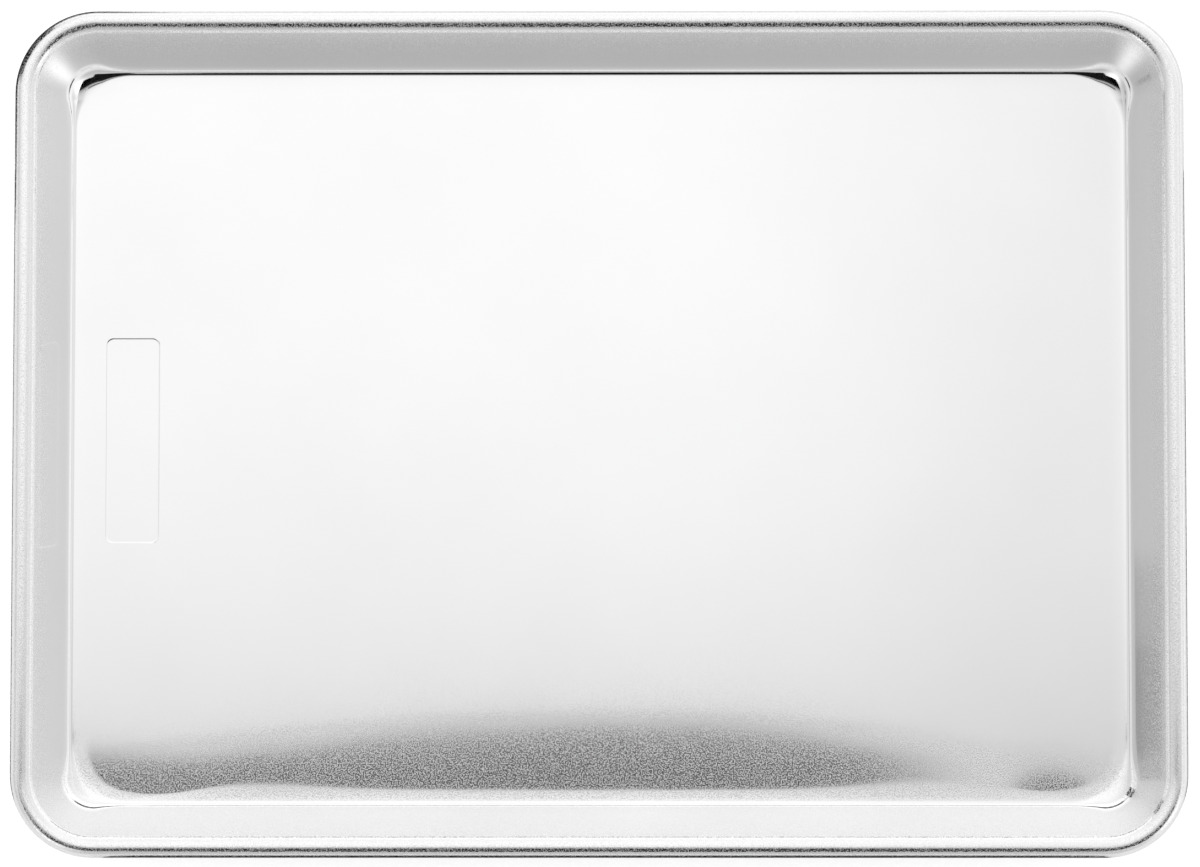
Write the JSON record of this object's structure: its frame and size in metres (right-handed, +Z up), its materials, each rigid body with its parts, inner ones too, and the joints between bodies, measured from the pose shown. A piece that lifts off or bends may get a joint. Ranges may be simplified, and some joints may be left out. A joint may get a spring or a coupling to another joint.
{
  "type": "jelly roll pan",
  "caption": "Shallow rectangular aluminium baking pan with rounded corners, leaning walls and a rim curled round a steel wire.",
  "frame": {"origin": "middle of the flat underside, on the surface that the pan stands on", "axes": "+X along the long sides, +Y along the short sides, +Z up out of the open top"},
  "size_m": [0.454, 0.329, 0.0254],
  "materials": {
    "drawn_aluminium": "mill finish, uncoated, softly reflective with fine rolling marks",
    "galvanised_wire": "galvanised, dull grey with a faint spangle"
  },
  "bodies": {
    "root": {"pan_shell": "drawn_aluminium", "rim_wire": "galvanised_wire"}
  },
  "joints": []
}
